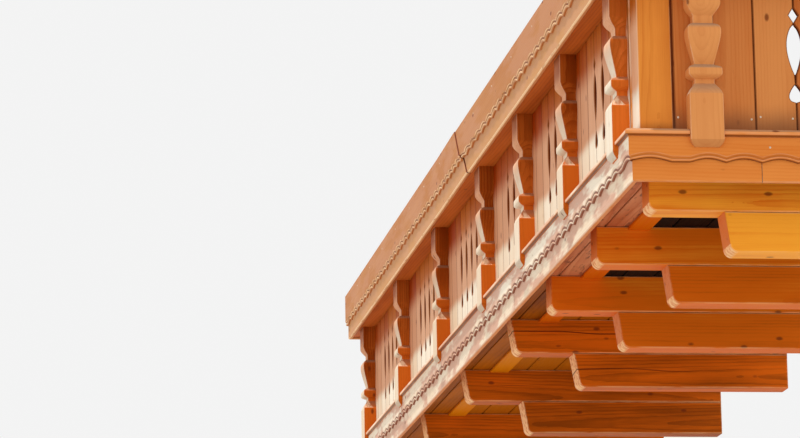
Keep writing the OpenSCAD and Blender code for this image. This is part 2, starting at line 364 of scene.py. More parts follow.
def deck(pink, painted_deep_shade, brown):
    """Boards along the front, cut over the beams by turns: in the first bays pink by the fascia and
    near black behind the cover strips, which paints the deep shade there, then brown. A dark layer closes
    their gaps, as painted shade"""
    piece = Piece("deck_boards")
    first = FASCIA_BACK + EDGE_BOARD
    pitch = (DEPTH - first) / DECK_ROWS
    rows = [(FASCIA_BACK, first - DECK_GAP)]
    rows += [(first + i * pitch, first + (i + 1) * pitch - DECK_GAP) for i in range(DECK_ROWS)]
    change = CENTRES[DEEP_SHADE_BAYS]
    for row, (o0, o1) in enumerate(rows):
        outline = eased(o0, o1, DECK_Z, DECK_TOP, DECK_EDGE, 1)
        cuts = [s for i, s in enumerate(CENTRES[1:-1]) if (i + row) % 2 or s == change]
        cuts = [FASCIA_BACK] + cuts + [FRONT - FASCIA_BACK]
        for s0, s1 in zip(cuts, cuts[1:]):
            beyond = s1 > change
            piece.extrude(outline, "s", s0 + HAIR, s1 - HAIR, DECK_END, 1,
                          tint=BROWN_TINT if beyond and row > 1 else None,
                          material=2 if beyond else 0 if row < 2 else 1)
    # A dark layer in the row gaps, as painted shade
    inner, outer = FASCIA_BACK + GAP_SHADE_INSET, DEPTH - GAP_SHADE_INSET
    dirt = eased(inner, outer, DECK_Z + GAP_SHADE_BOTTOM, DECK_Z + GAP_SHADE_TOP, HAIR, 1)
    piece.extrude(dirt, "s", inner, FRONT - FASCIA_BACK - GAP_SHADE_INSET, material=1)
    piece.build(pink, painted_deep_shade, brown)


def cover_strips(material):
    piece = Piece("cover_strips")
    o0, o1 = inward(low("cover_strips").y), inward(high("cover_strips").y)
    outline = eased(o0, o1, low("cover_strips").z, DECK_Z, STRIP_EDGE)
    for s0, s1, tint in zip(CENTRES, CENTRES[1:], STRIPS):
        piece.extrude(outline, "s", s0 + BEAM_W / 2, s1 - BEAM_W / 2, tint=tint)
    piece.build(material)


# Fascia and ledge
FASCIA_EDGE = 0.005
FASCIA_BEVEL = 0.014
FASCIA_TINTS = {"front": -0.4, "right": 0.4, "left": 0.4}
FASCIA_DIRT = 0.4
UNDER_WEAR = 0.6
# Where the lengths of each side meet
FASCIA_JOINTS = {"front": (CENTRES[2] + 0.35, CENTRES[4] + 0.6), "right": (0.553,), "left": (0.9,)}
APRON_JOINTS = {"front": (CENTRES[3], CENTRES[5]), "right": (), "left": ()}
BUTT_GAP = 0.0005
# Scallops of the aprons: the first one by a corner is longer and ends in a straight stretch
SCALLOP_W = 0.15
SCALLOP_H = 0.016
SCALLOP_STEPS = 14
SCALLOP_START = RETURN_CENTRES[0] - POST_W / 2
FIRST_SCALLOP = 0.177
# How blunt the points between two scallops are
SCALLOP_BLUNT = 0.002
# Border of an apron, from its edge up: a bead, a hollow and a rim. Points are given by how far they lie
# behind the face and over the edge
BORDER = (
    (0.0090, 0), (0.0057, 0.0018), (0.0036, 0.0042), (0.0027, 0.0070), (0.0033, 0.0098), (0.0052, 0.0114),
    (0.0062, 0.0142), (0.0058, 0.0176), (0.0040, 0.0204), (0.0016, 0.0220), (0, 0.0238))
APRON_EDGE = 0.002
# How rubbed the strips of an apron's outline are above zero, and how dark below zero, which paints the shade
# in the hollow, on the lower bead and under the edge
APRON_WEAR_AND_SHADE = (-0.9, -0.7, -0.4, 0.4, 0.9, 0, -0.3, -0.3, -0.15, 0.4, 0.9, 0, 0.6, 0, 0)
FRONT_WEAR_AND_SHADE = (-0.95, -0.9, -0.5, 0.3, 0.9, -0.6, -0.95, -0.95, -0.8, 0, 0.9, 0, 0.6, 0, 0)
# On the trough the bead and rim are rubbed pale, also as painted sunlit highlights, and the hollow is dark as
# painted shade
TROUGH_WEAR_SHADE_AND_HIGHLIGHT = (0.1, 0.3, 0.6, 0.9, 1.2, 0.2, -0.45, -0.45, -0.1, 0.9, 1.4, 0, 0.6, 0, 0)
# Outline of the ledge: the lip below its hollow, the hollow's own reach and rise, and the nose as points
# behind its front and over the fascia
LEDGE_LIP = (0.002, 0.0005)
LEDGE_HOLLOW = (0.010, 0.0065)
HOLLOW_STEPS = 4
LEDGE_NOSE = (
    (0.0012, 0.0072), (0, 0.0085), (0, 0.0180), (0.0010, 0.0198), (0.0100, 0.0288), (0.0124, 0.0298))
# Marks of the strips of that outline: rubbed above zero, and dark below zero, which paints the shade in the
# hollow under the nose
LEDGE_WEAR_AND_SHADE = (0, 0, -0.75, -0.75, -0.7, -0.45, -0.1, 0.5, 0.8, 0.8, 0, 0, 0, 0)


def lengths(side, joints):
    """The stretches of a side between its joints, and whether each end turns a corner"""
    cuts = [0, *joints, LENGTHS[side]]
    last = len(cuts) - 2
    for i, (s0, s1) in enumerate(zip(cuts, cuts[1:])):
        gap0, gap1 = (BUTT_GAP if i > 0 else 0), (BUTT_GAP if i < last else 0)
        yield s0 + gap0, s1 - gap1, (i == 0, i == last and side == "front")


def fascia_board(side, material):
    """The edge board, rubbed underneath, with a bevel at its hidden lower arris"""
    piece = Piece(f"fascia_board_{side}", side)
    outline = eased(APRON_BACK, FASCIA_BACK, FASCIA_Z, FASCIA_TOP, FASCIA_EDGE)
    outline[3:6] = [(FASCIA_BACK - FASCIA_BEVEL, FASCIA_Z), (FASCIA_BACK, FASCIA_Z + FASCIA_BEVEL)]
    for s0, s1, mitres in lengths(side, FASCIA_JOINTS[side]):
        piece.run(lambda s: outline, s0, s1, mitres, dirt=FASCIA_DIRT, tint=FASCIA_TINTS[side],
                  wear=lambda strip, slanted: UNDER_WEAR if strip == 2 else slanted)
    piece.build(material)


def scallop(s):
    """Rise of the scalloped edge"""
    if s < SCALLOP_START:
        return SCALLOP_H * sin(pi * min(abs(s) / FIRST_SCALLOP, 1))
    wave = sin(pi * (s - SCALLOP_START) / SCALLOP_W)
    return SCALLOP_H * (sqrt(wave * wave + SCALLOP_BLUNT) - sqrt(SCALLOP_BLUNT))


def apron_outline(face, back, bottom, top):
    border = [(face + behind, bottom + over) for behind, over in BORDER]
    return [(back, bottom)] + border + [(face, top - APRON_EDGE), (face + APRON_EDGE, top), (back, top)]


def apron_run(piece, face, back, bottom, top, s0, s1, mitres, marks, edge=RUN_EDGE, tint=None):
    """A length of apron, with rings all along its scallops"""
    last = int(s1 / SCALLOP_W + 1) * SCALLOP_STEPS
    stations = [SCALLOP_START + k * SCALLOP_W / SCALLOP_STEPS for k in range(-2 * SCALLOP_STEPS, last)]
    piece.run(lambda s: apron_outline(face, back, bottom + scallop(s), top), s0, s1, mitres, stations,
              edge, wear=lambda strip, slanted: marks[strip], tint=tint)


def fascia_apron(side, material):
    piece = Piece(f"fascia_apron_{side}", side)
    bottom = low("fascia_apron_front").z
    for s0, s1, mitres in lengths(side, APRON_JOINTS[side]):
        apron_run(piece, 0, APRON_BACK, bottom, FASCIA_TOP, s0, s1, mitres,
                  FRONT_WEAR_AND_SHADE if side == "front" else APRON_WEAR_AND_SHADE)
    piece.build(material)


def ledge_outline():
    """Outline in o and z of the ledge: a hollow under its bevelled nose, and a sloping top"""
    (lip_reach, lip_rise), (reach, rise) = LEDGE_LIP, LEDGE_HOLLOW
    outline = [(BOARD_FACE, 0), (0, 0)]
    for k in range(HOLLOW_STEPS + 1):
        angle = pi / 2 * k / HOLLOW_STEPS
        outline.append((-lip_reach - reach * (1 - cos(angle)), lip_rise + rise * sin(angle)))
    outline += [(LEDGE_OUT + behind, z) for behind, z in LEDGE_NOSE]
    return [(o, FASCIA_TOP + z) for o, z in outline] + [(BOARD_FACE, LEDGE_TOP)]


def ledge(side, material):
    """Its lengths lie between the balusters"""
    piece = Piece(f"ledge_{side}", side)
    outline = ledge_outline()
    starts = [0] + [s + POST_W / 2 for s in PLACES[side]]
    ends = [s - POST_W / 2 for s in PLACES[side]] + [LENGTHS[side]]
    last = len(ends) - 1
    for i, (s0, s1) in enumerate(zip(starts, ends)):
        piece.run(lambda s: outline, s0, s1, (i == 0, i == last and side == "front"),
                  wear=lambda strip, slanted: LEDGE_WEAR_AND_SHADE[strip])
    piece.build(material)


# Balustrade
POST_EDGE = 0.005
POST_TINT = 0.6
BOARD_EDGE = 0.0045
POST_SLIT = 0.005
TONGUE = 0.008
# How much darker the boards nearest the far end of a bay are, as painted shade beside the next baluster
FAR_END_SHADE = {0: 1.9, 1: 1.2, 2: 0.5}
# Carved cutouts: width, height and height above the fascia
VASE = (0.064, 0.208, 0.280)
HEART = (0.056, 0.076, 0.160)
DIAMOND = (0.040, 0.062, 0.498)
CUT_STEPS = 14
# The vase's width at its ends, as a share of its widest
VASE_NECK = 0.12
# How many joints of a bay are carved
NARROW_CARVED = 2
WIDE_CARVED = 4
BALUSTER_EDGE = 0.0035
# Insets of a baluster from its foot up, as heights over the foot of the fascia in millimetres
BALUSTER = (
    (139, 20), (140, 17.5), (146, 12), (153, 6), (160, 2), (168, 0), (357, 0), (361, 1), (372, 5), (386, 13),
    (398, 22), (405, 27), (409, 28), (424, 28), (426, 25), (431, 12), (438, 2.5), (441, 0.6), (446, 0),
    (462, 0), (466, 0.6), (470, 2.5), (476, 9), (481, 19), (484, 26), (487, 28), (494, 27.4), (510, 23.5),
    (530, 18.5), (555, 12), (580, 6), (600, 2), (614, 0.3), (626, 0.2), (636, 1.2), (645, 4.5), (652, 11),
    (657, 20), (660, 27), (662, 28), (690, 28), (694, 27), (702, 21), (713, 12), (724, 5), (734, 1), (738, 0))
# The top of the bevelled foot and the shoulder of the shaft, in the same heights
FOOT_TOP = 168
SHOULDER = (361, 405)
# How wide the shoulder's pale patch of painted sunlight is, and which strips round the shaft are arrises and
# patches
PATCH_W = 0.055
ARRISES = (0, 1, 3, 4)
PATCHES = (5, 9)
# Tints of the balusters, and marks of their feet, of the boards' grooves, and of patches and pale sides; the
# feet's mark is painted shade and the shoulders' patches painted sunlight
BALUSTERS = {"front": (0.1, -0.8, -0.3, -0.6, -1.0, -0.6, -0.9), "right": (0.7, 0.7), "left": (0.7, 0.7)}
# The bevelled foot is a little darker, as painted shade
FOOT_SHADE = -0.2
GROOVE_DIRT = -0.6
PALE_MARK = 5


def post(node, side, start, material):
    piece = Piece(node, side)
    outline = eased(start, start + POST_W, POST_O, POST_O + POST_W, POST_EDGE)
    piece.extrude(outline, "z", DECK_TOP, RAIL_Z, along="z", tint=POST_TINT)
    piece.build(material)


def baluster_ring(s, height, z, taper, back):
    """Two eased front arrises, and points at the sides where the pale patch of painted sunlight ends"""
    half = POST_W / 2 - taper
    front = BALUSTER_OUT + taper
    points = []
    for turn, u in ((0, s - half), (1, s + half)):
        for k in range(3):
            angle = pi / 4 * k
            away, ahead = BALUSTER_EDGE * (1 - cos(angle)), BALUSTER_EDGE * (1 - sin(angle))
            points.append((u + away, front + ahead, z) if turn == 0 else (u - ahead, front + away, z))
    bottom, top = SHOULDER
    patch = PATCH_W * min(max((top - height) / (top - bottom), 0.1), 1)
    edge = min(front + BALUSTER_EDGE + patch, back - HAIR)
    return points + [(s + half, edge, z), (s + half, back, z), (s - half, back, z), (s - half, edge, z)]


def balusters(side, material):
    """Their arrises are rubbed, the shoulders pale by the face as painted sunlight, and the feet a little
    darker as painted shade
    """
    piece = Piece(f"balusters_{side}", side)
    foot = low("balusters_front").z
    heights = []

    def wear(band, strip, slanted):
        if heights[band] < FOOT_TOP:
            return FOOT_SHADE
        shoulder = SHOULDER[0] <= heights[band] < SHOULDER[1]
        return 1 if strip in ARRISES else PALE_MARK if shoulder and strip in PATCHES else 0

    for s, tint in zip(PLACES[side], BALUSTERS[side]):
        rings = []
        heights.clear()
        for height, taper in BALUSTER:
            z = FASCIA_Z + height / 1000
            if rings and rings[-1][0][2] < FASCIA_TOP < z:
                # Over the fascia the back steps in from the apron's face to the boards
                for back in (0, BOARD_FACE):
                    rings.append(baluster_ring(s, height, FASCIA_TOP, 0, back))
                    heights.append(height)
            back = 0 if z < FASCIA_TOP else BOARD_FACE
            rings.append(baluster_ring(s, height, max(z, foot), taper / 1000, back))
            heights.append(height)
        rings.append(baluster_ring(s, BALUSTER[-1][0], RAIL_Z, 0, BOARD_FACE))
        piece.solid(rings, "z", wear=wear, tint=tint)
    piece.build(material, smooth=35)


def cut_height(cutout, share):
    """Height at a share of a cutout's own height"""
    _, height, rise = cutout
    return FASCIA_TOP + rise + height * share


def cut_side():
    """Half of the carved cutouts on a joint, as pairs of inset and height, from the foot up: a heart, a
    vase and a diamond"""
    least = BOARD_GAP / 2
    path, vase = [], []
    for k in range(CUT_STEPS + 1):
        t = k / CUT_STEPS
        path.append((max(HEART[0] / 2 * sin(pi * t ** 0.62) ** 0.8, least), cut_height(HEART, t)))
        swell = VASE_NECK + (1 - VASE_NECK) * abs(sin(pi * t ** 1.25)) ** 0.7
        vase.append((swell * VASE[0] / 2, cut_height(VASE, t)))
    path += vase
    for t, step in ((0, least), (0.5, DIAMOND[0] / 2), (1, least)):
        path.append((step, cut_height(DIAMOND, t)))
    return path


def tongue(piece, s, bottom, top):
    """Closes a joint between two boards behind its groove, dark as painted shade in the joint"""
    half, centre = TONGUE / 2, (BOARD_FACE + BOARD_BACK) / 2
    outline = eased(s - half, s + half, centre - half, centre + half, HAIR, 1)
    piece.extrude(outline, "z", bottom + HAIR, top - HAIR, wear=lambda band, strip, slanted: -1)


def among(s, places):
    return any(abs(s - place) < HAIR for place in places)


def boards(node, side, s0, s1, middle, carved, material):
    """Vertical boards with their joints counted from the middle of the bay, some of them carved. They are
    darker toward the far end, as painted shade, and dirty in their joints, and the walls of their sides and
    cutouts are dark, as painted shade. On the front the side of the first one is pale; on a return a dark
    slit parts it from the post"""
    piece = Piece(node, side)
    count = int((s1 - s0) / BOARD_PITCH) + 2
    joints = [middle + (k + 0.5) * BOARD_PITCH for k in range(-count, count)]
    joints = [s for s in joints if s0 + BOARD_GAP < s < s1 - BOARD_GAP]
    carvings = [middle + (k - (carved - 1) / 2) * BOARD_PITCH for k in range(carved)]
    slit = 0 if side == "front" else POST_SLIT
    sides = [s0 + slit] + joints + [s1]
    profile = cut_side()
    for i, (a, b) in enumerate(zip(sides, sides[1:])):
        left = [(a + BOARD_GAP / 2, DECK_TOP), (a + BOARD_GAP / 2, RAIL_Z)]
        right = [(b - BOARD_GAP / 2, DECK_TOP), (b - BOARD_GAP / 2, RAIL_Z)]
        if among(a, carvings):
            left[1:1] = [(a + step, z) for step, z in profile]
        if among(b, carvings):
            right[1:1] = [(b - step, z) for step, z in profile]
        tint = piece.random.uniform(-0.5, 1) - FAR_END_SHADE.get(len(sides) - 2 - i, 0)
        # Side walls and cutouts are dark, as painted shade; on the front the side of the first board is pale
        flank = -1 if i or slit else PALE_MARK
        piece.extrude(right + left[::-1], "o", BOARD_FACE, BOARD_BACK, BOARD_EDGE, 1, along="z", tint=tint,
                      wear=lambda band, strip, slanted: GROOVE_DIRT if slanted and band != 1 else flank)
    if slit:
        tongue(piece, s0 + slit / 2, DECK_TOP, RAIL_Z)
    breaks = [cut_height(cutout, t) for cutout in (HEART, VASE, DIAMOND) for t in (0, 1)]
    breaks = [DECK_TOP, *breaks, RAIL_Z]
    for s in joints:
        shut = zip(breaks[::2], breaks[1::2]) if among(s, carvings) else [(DECK_TOP, RAIL_Z)]
        for z0, z1 in shut:
            tongue(piece, s, z0, z1)
    piece.build(material)


def balustrade(material, spindle, shaded, shaded_spindle):
    inner = POST_O + POST_W
    ends = [inner] + CENTRES[1:-1] + [FRONT - inner]
    for i in range(BAYS):
        middle = (CENTRES[i] + CENTRES[i + 1]) / 2
        carved = NARROW_CARVED if i < NARROW_BAYS else WIDE_CARVED
        boards(f"boards_front_{i + 1}", "front", ends[i], ends[i + 1], middle, carved, material)
    balusters("front", spindle)
    for side in SIDES[1:]:
        boards(f"boards_{side}", side, inner, DEPTH - POST_W, sum(RETURN_CENTRES) / 2, NARROW_CARVED, shaded)
        balusters(side, shaded_spindle)
        post(f"corner_post_{side}", side, POST_O, material)
        post(f"wall_post_{side}", side, DEPTH - POST_W, shaded)


# Flower trough
TROUGH_EDGE = 0.007
END_EDGE = 0.003
LINING_EDGE = 0.003
FLOOR_EDGE = 0.002
END_BOARD = 0.022
# The trough's apron is darker than its board, as painted shade
FACE_TINT = 1
# The board's lower arris is rubbed pale, also as a painted sunlit highlight
FACE_WEAR_AND_HIGHLIGHT = 2
TROUGH_APRON_SHADE = -1.2
# The joint between the two lengths of the front trough boards leans, more at the edge of the apron, and
# its far side stands proud
JOINT_S = CENTRES[3] + 0.044
JOINT_GAP = 0.006
JOINT_LEANS = ((TROUGH_Z, 0), (1.112, 0.092), (1.154, 0.167), (TROUGH_TOP, 0.284))
JOINT_REACH = 0.9
JOINT_PROUD = 0.005
# The dark backing of the joint, painted shade behind it: how far it lies behind the faces, ends inside the
# top and bottom, and reaches past the joint
BACKING = (0.011, 0.015)
BACKING_INSET = 0.006
BACKING_LAP = 0.01


def leaning(s, o, z):
    """Moves what is near the front joint so that the joint leans and its far side stands proud"""
    near = max(0, 1 - abs(s - JOINT_S) / JOINT_REACH)
    lean = 0
    for (z0, lean0), (z1, lean1) in zip(JOINT_LEANS, JOINT_LEANS[1:]):
        lean += (lean1 - lean0) * min(max((z - z0) / (z1 - z0), 0), 1)
    return s + lean * near, o - (JOINT_PROUD * near if s > JOINT_S else 0), z


def trough_lengths(side):
    if side == "front":
        yield 0, JOINT_S, (True, False)
        yield JOINT_S + JOINT_GAP, FRONT, (False, True)
    else:
        yield 0, DEPTH, (True, False)


def joint_backing(piece, face, bottom):
    near, far = (face + behind for behind in BACKING)
    outline = eased(near, far, bottom + BACKING_INSET, TROUGH_TOP - BACKING_INSET, HAIR, 1)
    piece.extrude(outline, "s", JOINT_S - BACKING_LAP, JOINT_S + JOINT_GAP + BACKING_LAP, material=1)


def trough(side, material, soffit, dark):
    """Its outer boards are rubbed most at their lower arris, which also paints a sunlit highlight there"""
    warp = leaning if side == "front" else None
    board, apron = Piece(f"trough_board_{side}", side, warp), Piece(f"trough_apron_{side}", side, warp)
    floor, inner = Piece(f"trough_floor_{side}", side), Piece(f"trough_inner_{side}", side)
    face = eased(TROUGH_FACE, TROUGH_OPEN, TROUGH_Z, TROUGH_TOP, TROUGH_EDGE)
    apron_z = low("trough_apron_front").z
    if side == "front":
        joint_backing(board, TROUGH_FACE, TROUGH_Z)
        joint_backing(apron, TROUGH_OUT, apron_z + SCALLOP_H)
    for s0, s1, mitres in trough_lengths(side):
        board.run(lambda s: face, s0, s1, mitres, (JOINT_S - JOINT_REACH, JOINT_S + JOINT_REACH), END_EDGE,
                  wear=lambda strip, slanted: FACE_WEAR_AND_HIGHLIGHT if strip < 2 else slanted, tint=FACE_TINT)
        apron_run(apron, TROUGH_OUT, TROUGH_FACE, apron_z, TROUGH_TOP, s0, s1, mitres, TROUGH_WEAR_SHADE_AND_HIGHLIGHT, END_EDGE,
                  TROUGH_APRON_SHADE)
    corners = (True, side == "front")
    floor_top = high("trough_floor_front").z
    under = eased(TROUGH_OPEN, TROUGH_BACK, RAIL_Z, floor_top, FLOOR_EDGE, 1)
    floor.run(lambda s: under, 0, LENGTHS[side], corners)
    back = eased(TROUGH_BACK, inward(high("trough_inner_front").y), RAIL_Z, TROUGH_TOP, LINING_EDGE)
    inner.run(lambda s: back, 0, LENGTHS[side], corners)
    board.build(material, dark)
    apron.build(material, dark)
    floor.build(soffit)
    inner.build(material)
    if side != "front":
        end = Piece(f"trough_end_{side}", side)
        outline = eased(TROUGH_OPEN, TROUGH_BACK, floor_top, TROUGH_TOP, LINING_EDGE)
        end.extrude(outline, "s", DEPTH - END_BOARD, DEPTH, HAIR, 1, along="o")
        end.build(material)


# Screws
SCREW_R = 0.0045
SCREW_SIDES = 10
# Outline of a head: shares of its radius, and how far they stand out
SCREW_HEAD = ((1, -0.001), (1, 0.0007), (0.8, 0.0014), (0.45, 0.0018), (0.4, 0.0009))
# On the boards: how far screws lie from a joint, from a baluster at least, and over the ledge, how far
# they stray from that, and how many joints have them on either side of a bay's middle
SCREW_STEP = 0.019
SCREW_CLEAR = 0.015
SCREW_RISE = 0.058
SCREW_STRAY = 0.008
SCREWED_JOINTS = 4
# On the aprons: the pitch, the place of the first one in pitches, and how far they lie under the tops
SCREW_PITCH = 0.58
FIRST_SCREW = 1.01
FASCIA_DROP = 0.042
TROUGH_DROP = 0.045


def screw(piece, s, face, z):
    angles = [2 * pi / SCREW_SIDES * k for k in range(SCREW_SIDES)]
    rings = []
    for share, out in SCREW_HEAD:
        r = SCREW_R * share
        rings.append([(s + r * cos(a), face - out, z + r * sin(a)) for a in angles])
    piece.solid(rings, "o")


def screws(material):
    """Beside the joints of the boards, and in a row along each apron"""
    piece = Piece("screws")
    for side in SIDES:
        piece.side = side
        centres = PLACES[side]
        s0, s1 = (CENTRES[0], CENTRES[-1]) if side == "front" else (POST_O + POST_W, DEPTH - POST_W)
        middles = [(a + b) / 2 for a, b in zip(centres, centres[1:])]
        near = range(-SCREWED_JOINTS, SCREWED_JOINTS)
        joints = sorted(m + (k + 0.5) * BOARD_PITCH for m in middles for k in near)
        for s in [joint + step for joint in joints for step in (-SCREW_STEP, SCREW_STEP)]:
            if s0 < s < s1 and all(abs(s - c) > POST_W / 2 + SCREW_CLEAR for c in centres):
                stray = piece.random.uniform(-SCREW_STRAY, SCREW_STRAY)
                screw(piece, s, BOARD_FACE, LEDGE_TOP + SCREW_RISE + stray)
        for k in range(int(LENGTHS[side] / SCREW_PITCH)):
            s = (k + FIRST_SCREW) * SCREW_PITCH
            screw(piece, s, 0, FASCIA_TOP - FASCIA_DROP)
            screw(piece, s, TROUGH_OUT, TROUGH_TOP - TROUGH_DROP)
    piece.build(material)


# Materials
def colour(red, green, blue):
    """A colour written as it looks on screen, from 0 to 255"""
    return tuple(c / 12.92 if c <= 0.04045 else ((c + 0.055) / 1.055) ** 2.4
                 for c in (red / 255, green / 255, blue / 255)) + (1,)


class Nodes:
    """Short ways to add nodes to a tree and join them"""

    def __init__(self, tree):
        self.tree = tree

    def link(self, socket, value):
        if isinstance(value, bpy.types.NodeSocket):
            self.tree.links.new(value, socket)
        else:
            socket.default_value = value

    def add(self, kind, inputs, output=0, **settings):
        node = self.tree.nodes.new(kind)
        for key, value in settings.items():
            setattr(node, key, value)
        for key, value in inputs.items():
            self.link(node.inputs[key], value)
        return node.outputs[output]

    def attribute(self, name, output):
        return self.add("ShaderNodeAttribute", {}, output, attribute_name=name)

    def calc(self, operation, a, b, clamp=False):
        return self.add("ShaderNodeMath", {0: a, 1: b}, operation=operation, use_clamp=clamp)

    def plus(self, a, b, clamp=False):
        return self.calc("ADD", a, b, clamp)

    def times(self, a, b, clamp=False):
        return self.calc("MULTIPLY", a, b, clamp)

    def ramp(self, value, start, end, low=0.0, high=1.0):
        """Goes smoothly from low to high as value goes from start to end"""
        inputs = {"Value": value, "From Min": start, "From Max": end, "To Min": low, "To Max": high}
        return self.add("ShaderNodeMapRange", inputs, interpolation_type="SMOOTHSTEP")

    def mix(self, share, a, b):
        """Mixes two colours, by the numbers of the node's colour sockets"""
        return self.add("ShaderNodeMix", {0: share, 6: a, 7: b}, 2, data_type="RGBA")

    def scaled(self, vector, scale):
        return self.add("ShaderNodeVectorMath", {0: vector, 1: scale}, operation="MULTIPLY")

    def noise(self, vector, scale, detail=2.0, roughness=0.5):
        return self.add("ShaderNodeTexNoise", {
            "Vector": self.scaled(vector, scale), "Scale": 1.0, "Detail": detail, "Roughness": roughness})


class Shader(Nodes):
    """A material and its surface"""

    def __init__(self, name):
        self.material = bpy.data.materials.new(name)
        self.material.use_nodes = True
        super().__init__(self.material.node_tree)
        self.surface = self.tree.nodes["Principled BSDF"]

    def set(self, socket, value):
        self.link(self.surface.inputs[socket], value)


# Noises in wood: their scales along and across the grain, and their detail and roughness
FIBRE = ((5, 340, 340), 3, 0.6)
BROAD = ((0.9, 17, 17), 2)
PATCH = ((1.6, 5, 5), 3, 0.6)
BEND = ((1.1, 3.5, 3.5), 2)
# Patches of painted dappled shade
DAPPLED_SHADE_NOISE = ((2.8, 12, 12), 3, 0.6)
RUBS = ((6, 45, 45), 3, 0.65)
STAINS = ((7, 42, 42), 4, 0.7)
SWAY = ((1.3, 2, 2), 2)
GATE = ((0.9, 1, 1), 1)
# Where the front looks, in the row frame
VALLEY = (-0.25, -0.95, -0.2)
# Painted light near the foot, for the lit lower shafts: the heights between which it fades, and its strength
# below and above
PAINTED_FOOT_LIGHT = (0.52, 0.78, 0.65, 0.0)
# Colours that the woods share
FRONT_SHADE = colour(234, 214, 196)
# Colour of the patches of painted dappled shade
DAPPLED_SHADE = colour(204, 152, 128)
GREYED = (colour(140, 110, 86), colour(176, 144, 116))
KNOT = colour(108, 44, 14)
STAIN = colour(92, 56, 42)
CRACK = colour(70, 22, 8)
# Darkening for marks below zero: dirt in joints and at ends, painted shade in hollows, under edges and in
# recesses
GRIME_AND_SHADE = colour(104, 44, 16)


